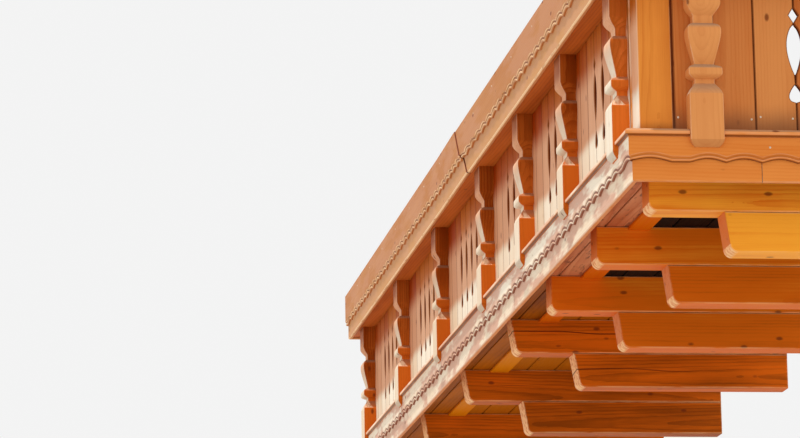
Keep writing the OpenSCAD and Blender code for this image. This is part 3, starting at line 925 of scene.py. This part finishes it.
class Wood(Shader):
    """Spruce with rings, fibres and patches in the tree's own places. Most steps take the colour so far
    and give it back changed"""

    def __init__(self, name, contrast):
        super().__init__(name)
        self.grain = self.attribute("grain", "Vector")
        self.mark = self.attribute("wear", "Fac")
        self.fibre, self.patch, self.late = self.figure(FIBRE), self.figure(PATCH), self.late_wood()
        # How pale a spot is between two colours
        share = self.times(self.attribute("tint", "Fac"), 0.42)
        for part, amount in ((self.figure(BROAD), 0.8), (self.fibre, 0.45), (self.patch, 0.7)):
            share = self.plus(share, self.about(part, amount * contrast))
        self.share = self.calc("SUBTRACT", share, self.times(self.late, 0.2 * contrast))
        geometry = self.tree.nodes.new("ShaderNodeNewGeometry").outputs
        self.up = self.add("ShaderNodeSeparateXYZ", {0: geometry["Normal"]}, "Z")
        level = self.add("ShaderNodeSeparateXYZ", {0: geometry["Position"]}, "Z")
        self.level = self.plus(level, self.about(self.patch, 0.08))
        facing = {0: geometry["Normal"], 1: VALLEY}
        facing = self.add("ShaderNodeVectorMath", facing, "Value", operation="DOT_PRODUCT")
        self.toward = self.ramp(facing, 0.2, 0.8)

    def figure(self, noise):
        return self.noise(self.grain, *noise)

    def about(self, value, amount):
        """A noise made to swing about zero"""
        return self.times(self.calc("SUBTRACT", value, 0.5), amount)

    def late_wood(self):
        """The dark part of the year rings"""
        bend = self.scaled(self.figure(BEND), (0, 0.02, 0.02))
        bent = self.add("ShaderNodeVectorMath", {0: self.grain, 1: bend}, operation="ADD")
        inputs = {"Vector": bent, "Scale": 24.0, "Distortion": 1.2, "Detail": 2.0, "Detail Scale": 0.6}
        rings = self.add("ShaderNodeTexWave", inputs, "Fac", wave_type="RINGS", rings_direction="X",
                         wave_profile="SAW")
        return self.ramp(rings, 0.45, 1.0)

    def between(self, dark, pale, start=0.6):
        return self.mix(self.plus(self.share, start, clamp=True), dark, pale)

    def glazed(self, deep, middle, pale):
        if not middle:
            return self.between(deep, pale)
        look = self.mix(self.ramp(self.share, -0.6, -0.1), deep, middle)
        return self.mix(self.ramp(self.share, -0.1, 0.4), look, pale)

    def bleached_and_sunlit(self, look, front, dappled_shade, shade_zones):
        """Pale where it faces the valley: partly sun bleaching, partly painted sunlight"""
        darker = tuple(a * b for a, b in zip(front, FRONT_SHADE))
        pale = self.between(darker, front, 0.7)
        if dappled_shade:
            # Pinker patches of painted dappled shade
            pale = self.mix(self.ramp(self.figure(DAPPLED_SHADE_NOISE), 0.42, 0.56, 0.0, dappled_shade), pale, DAPPLED_SHADE)
        # Higher up, bands of painted shade: the trough's shadow, then the deeper shade close under the trough
        for dark, light, start, end in shade_zones:
            pale = self.mix(self.ramp(self.level, start, end), pale, self.between(dark, light))
        return self.mix(self.times(self.toward, 0.95), look, pale)

    def greyed(self, look, tops, grey):
        share = self.plus(self.times(self.share, 0.5), 0.5, clamp=True)
        return self.mix(self.ramp(self.up, *tops, 0.0, grey), look, self.mix(share, *GREYED))

    def knotted(self, look, knots, knotty):
        """Small knots, nearer each other in knotty wood"""
        cell = {"Vector": self.scaled(self.grain, (4.6, 8.5, 8.5)), "Scale": knotty}
        away = self.add("ShaderNodeTexVoronoi", cell, "Distance")
        away = self.plus(away, self.times(self.fibre, 0.05 * knotty))
        return self.mix(self.ramp(away, 0.13 * knotty, 0.07 * knotty, 0.0, 0.8 * knots), look, KNOT)

    def rubbed(self, look, worn, wear):
        """Worn where it is marked so, and more where it faces the valley; the highest marks use it to paint
        sunlit highlights and patches
        """
        rubbed = self.ramp(self.figure(RUBS), 0.28, 0.6)
        rubbed = self.times(rubbed, self.calc("MAXIMUM", self.mark, 0.0))
        rubbed = self.times(rubbed, self.ramp(self.toward, 0.0, 0.6, 0.45 * wear, wear))
        return self.mix(rubbed, look, worn)

    def cracks(self):
        """Drying cracks at the heights that are told, swaying and broken off"""
        height = self.plus(self.attribute("split", "Fac"), self.about(self.figure(SWAY), 0.09))
        line = self.ramp(self.calc("ABSOLUTE", height, 0.0), 0.0012, 0.004, 1.0, 0.0)
        return self.times(line, self.ramp(self.figure(GATE), 0.42, 0.5))

    def finish(self, look, roughness):
        """Cracks over all else, and the relief and gloss of the fibres"""
        cracks = self.cracks()
        self.set("Base Color", self.mix(self.times(cracks, 0.85), look, CRACK))
        self.set("Roughness", self.ramp(self.fibre, 0.2, 0.8, roughness - 0.07, roughness + 0.1))
        self.set("Specular IOR Level", 0.05)
        height = self.plus(self.times(self.fibre, 0.6), self.times(self.late, 0.35))
        height = self.calc("SUBTRACT", height, self.times(cracks, 3.0))
        bump = {"Height": height, "Strength": 0.35, "Distance": 0.0012}
        self.set("Normal", self.add("ShaderNodeBump", bump))


def wood(name, deep, pale, middle=None, foot_light_colour=None, front=None, dappled_shade=0.0, shade_zones=(), grey=0.8,
         tops=(0.1, 0.8), knots=1.0, knotty=1.0, worn=None, wear=0.7, dirt=GRIME_AND_SHADE, over_ledge_darkening=None, stains=0.0,
         contrast=1.0, roughness=0.52):
    """Glazed spruce between two colours, with one between them if it is told. Near its foot it is lighter to
    a colour of painted light, if one is given. Where it faces the valley it turns to the front colour, partly
    sun bleaching and partly painted sunlight, with pinker patches of painted dappled shade, and higher up to
    each zone's two colours of painted shade, which begin between its two heights. It is greyed on top,
    between two steepnesses, rubbed where it is marked above zero, which some marks use to paint sunlit
    patches, darkened to the dirt colour where it is marked below zero, which is dirt in some places and
    painted shade in others, and stained. over_ledge_darkening is how dark it is over the ledge, how far up
    that reaches, and its colour"""
    timber = Wood(name, contrast)
    look = timber.glazed(deep, middle, pale)
    # Painted light near the foot
    if foot_light_colour:
        look = timber.mix(timber.ramp(timber.level, *PAINTED_FOOT_LIGHT), look, foot_light_colour)
    if front:
        look = timber.bleached_and_sunlit(look, front, dappled_shade, shade_zones)
    look = timber.greyed(look, tops, grey)
    look = timber.knotted(look, knots, knotty)
    if worn:
        look = timber.rubbed(look, worn, wear)
    # Marks below zero darken to the dirt colour: dirt in some places, painted shade in others
    look = timber.mix(timber.times(timber.mark, -1.0, clamp=True), look, dirt)
    # Darker just over the ledge
    if over_ledge_darkening:
        amount, reach, tone = over_ledge_darkening
        look = timber.mix(timber.ramp(timber.level, LEDGE_TOP, LEDGE_TOP + reach, amount, 0.0), look, tone)
    if stains:
        look = timber.mix(timber.ramp(timber.figure(STAINS), 0.54, 0.68, 0.0, stains), look, STAIN)
    timber.finish(look, roughness)
    return timber.material


def steel():
    """Screw heads, dulled by the weather"""
    shader = Shader("zinc_steel")
    dirt = shader.noise(shader.attribute("grain", "Vector"), (400, 400, 400), 2)
    shader.set("Base Color", shader.mix(
        shader.ramp(dirt, 0.35, 0.65), colour(238, 226, 206), colour(196, 172, 142)))
    shader.set("Metallic", 0.3)
    shader.set("Roughness", shader.ramp(dirt, 0.3, 0.7, 0.35, 0.55))
    return shader.material


def dress():
    """Makes every material and piece"""
    beam = wood("beam_wood", colour(140, 64, 4), colour(254, 166, 48), middle=colour(224, 104, 12),
                front=colour(216, 112, 48), worn=colour(254, 202, 144), wear=0.9, knots=0.95, contrast=0.6,
                roughness=0.5, knotty=1.35)
    soffit = wood("soffit_wood", colour(136, 50, 0), colour(204, 106, 40), contrast=1.2, knots=0.6)
    strip = wood("strip_wood", colour(212, 82, 4), colour(214, 122, 4), contrast=0.6, knots=0.6)
    under = {"grey": 0.97, "tops": (0.3, 0.8)}
    pink = wood("deck_pink", colour(180, 92, 52), colour(222, 146, 100), stains=0.75, contrast=1.4,
                roughness=0.62, **under)
    # Near-black wood that paints deep shade: on the deck behind the cover strips, in the deck's gaps and
    # behind the trough's joint
    painted_deep_shade = wood("deck_painted_deep_shade", colour(14, 9, 7), colour(30, 20, 16), knots=0.2, roughness=0.6, **under)
    brown = wood("deck_brown", colour(112, 48, 0), colour(176, 92, 6), stains=0.12, contrast=1.2,
                 roughness=0.6, **under)
    edge = {"deep": colour(208, 106, 32), "pale": colour(232, 142, 66), "front": colour(246, 234, 212),
            "dappled_shade": 0.8, "worn": colour(240, 188, 150), "wear": 0.8, "tops": (0.3, 0.85)}
    # The front apron's copy, whose paler dirt colour paints the pinkish shade in its hollow and under its
    # edge
    sunny = wood("fascia_wood_sunny", dirt=colour(150, 92, 72), **edge)
    fascia = wood("fascia_wood", **edge)
    # The front colour stands for sun bleaching and painted sunlight both; the next colour is for rubbed wood,
    # and on the balusters' shoulders it paints sunlight
    bleached_and_sunlit, bare_and_sunlit = colour(240, 230, 210), colour(240, 204, 170)
    # The rail's front turns to painted shade: the trough's shadow from about 0.54 m up, and the deeper shade
    # under the trough from about 0.80 m up
    rail = wood("rail_wood", colour(184, 84, 14), colour(232, 143, 58), front=bleached_and_sunlit, shade_zones=(
        (colour(208, 146, 108), colour(228, 172, 134), 0.54, 0.60),
        (colour(152, 50, 0), colour(187, 101, 26), 0.80, 0.94)),
        worn=bare_and_sunlit, wear=0.45, over_ledge_darkening=(0.5, 0.05, colour(120, 60, 32)))
    # The balusters' front turns to painted shade: the trough's shadow from about 0.66 m up, and the deeper
    # shade under the trough from about 0.88 m up
    spindle = wood("baluster_wood", colour(140, 58, 6), colour(222, 118, 50), middle=colour(184, 92, 28),
                   front=bleached_and_sunlit, shade_zones=(
                       (colour(206, 136, 92), colour(240, 186, 146), 0.66, 0.86),
                       (colour(146, 74, 38), colour(186, 114, 74), 0.88, 0.97)),
                   # Their lower shafts are lighter, as painted light
                   worn=bare_and_sunlit, wear=0.45, tops=(0.25, 0.6), grey=0.55, foot_light_colour=colour(228, 112, 30))
    shade = {"deep": colour(180, 84, 22), "worn": bare_and_sunlit, "wear": 0.45}
    shaded = wood("rail_wood_shaded", pale=colour(216, 137, 74), contrast=0.7,
                  over_ledge_darkening=(0.65, 0.13, colour(124, 80, 54)), **shade)
    shaded_spindle = wood("baluster_wood_shaded", pale=colour(228, 152, 88), contrast=0.5, **shade)
    # The trough's front colour is darker than the other fronts, as painted shade
    rim = wood("trough_wood", colour(190, 104, 46), colour(220, 150, 94), front=colour(199, 142, 90),
               dappled_shade=0.25, worn=colour(250, 206, 158), wear=0.85)
    beams("joists", JOISTS, beam)
    beams("corbels", CORBELS, beam)
    deck(pink, painted_deep_shade, brown)
    cover_strips(strip)
    for side in SIDES:
        fascia_board(side, fascia)
        fascia_apron(side, sunny if side == "front" else fascia)
        ledge(side, fascia)
        trough(side, rim, soffit, painted_deep_shade)
    balustrade(rail, spindle, shaded, shaded_spindle)
    screws(steel())


# Floor
FLOOR_Z = -4.7
FLOOR_SIZE = 400


def stage():
    """A plain pale floor below the camera, not seen from underneath"""
    half = FLOOR_SIZE / 2
    corners = [(x * half, y * half, FLOOR_Z) for x, y in ((-1, -1), (1, -1), (1, 1), (-1, 1))]
    mesh = bpy.data.meshes.new("floor")
    mesh.from_pydata(corners, [], [(0, 1, 2, 3)])
    shader = Shader("floor_paper")
    shader.set("Base Color", colour(174, 174, 172))
    shader.set("Roughness", 1.0)
    shader.set("Specular IOR Level", 0.0)
    behind = shader.tree.nodes.new("ShaderNodeNewGeometry").outputs["Backfacing"]
    clear = shader.add("ShaderNodeBsdfTransparent", {})
    both = shader.add("ShaderNodeMixShader", {0: behind, 1: shader.surface.outputs[0], 2: clear})
    shader.link(shader.tree.nodes["Material Output"].inputs["Surface"], both)
    mesh.materials.append(shader.material)
    in_scene("floor", mesh)


# Lights
ROOM_LIGHT = 1.0
ROOM_SEEN = 0.9
KEY_LIGHT = 3.5
KEY_WIDTH = 2.0
KEY_FROM = (0.1, -1, 4.1)
KEY_COLOUR = (1.0, 0.98, 0.94)


def lights():
    """A high key light from the front, and an even pale room"""
    world = bpy.data.worlds.new("world")
    world.use_nodes = True
    bpy.context.scene.world = world
    room = Nodes(world.node_tree)
    rays = room.tree.nodes.new("ShaderNodeLightPath").outputs
    seen = room.calc("MAXIMUM", rays["Is Camera Ray"], rays["Is Transmission Ray"])
    seen = room.calc("MAXIMUM", seen, rays["Is Glossy Ray"])
    walls = room.tree.nodes["Background"].inputs
    room.link(walls["Color"], (1, 1, 1, 1))
    room.link(walls["Strength"], room.ramp(seen, 0.0, 1.0, ROOM_LIGHT, ROOM_SEEN))
    sun = bpy.data.lights.new("key", "SUN")
    sun.energy = KEY_LIGHT
    sun.angle = radians(KEY_WIDTH)
    sun.color = KEY_COLOUR
    in_scene("key", sun).rotation_euler = Vector(KEY_FROM).to_track_quat("Z", "Y").to_euler()


# Camera: its place in the row frame and its angles in degrees, fitted to the photograph
CAMERA_AT = (18.934, -4.571, -3.133)
CAMERA_YAW = 7.922
CAMERA_PITCH = 11.54
CAMERA_ROLL = -0.967
CAMERA_LENS = 175.86
SENSOR_W = 36
CLIP = (0.1, 500)


def camera():
    yaw, pitch, roll = radians(CAMERA_YAW), radians(CAMERA_PITCH), radians(CAMERA_ROLL)
    forward = Vector((-cos(yaw) * cos(pitch), sin(yaw) * cos(pitch), sin(pitch)))
    right = Vector((sin(yaw), cos(yaw), 0))
    up = Vector((cos(yaw) * sin(pitch), -sin(yaw) * sin(pitch), cos(pitch)))
    turned_right = right * cos(roll) + up * sin(roll)
    turned_up = up * cos(roll) - right * sin(roll)
    data = bpy.data.cameras.new("camera")
    data.lens = CAMERA_LENS
    data.sensor_width = SENSOR_W
    data.clip_start, data.clip_end = CLIP
    cam = in_scene("camera", data)
    axes = Matrix((turned_right, turned_up, -forward)).transposed().to_4x4()
    cam.matrix_world = Matrix.Translation(CAMERA_AT) @ axes
    bpy.context.scene.camera = cam


camera()
lights()
stage()
dress()
bpy.context.scene.view_settings.view_transform = "Standard"
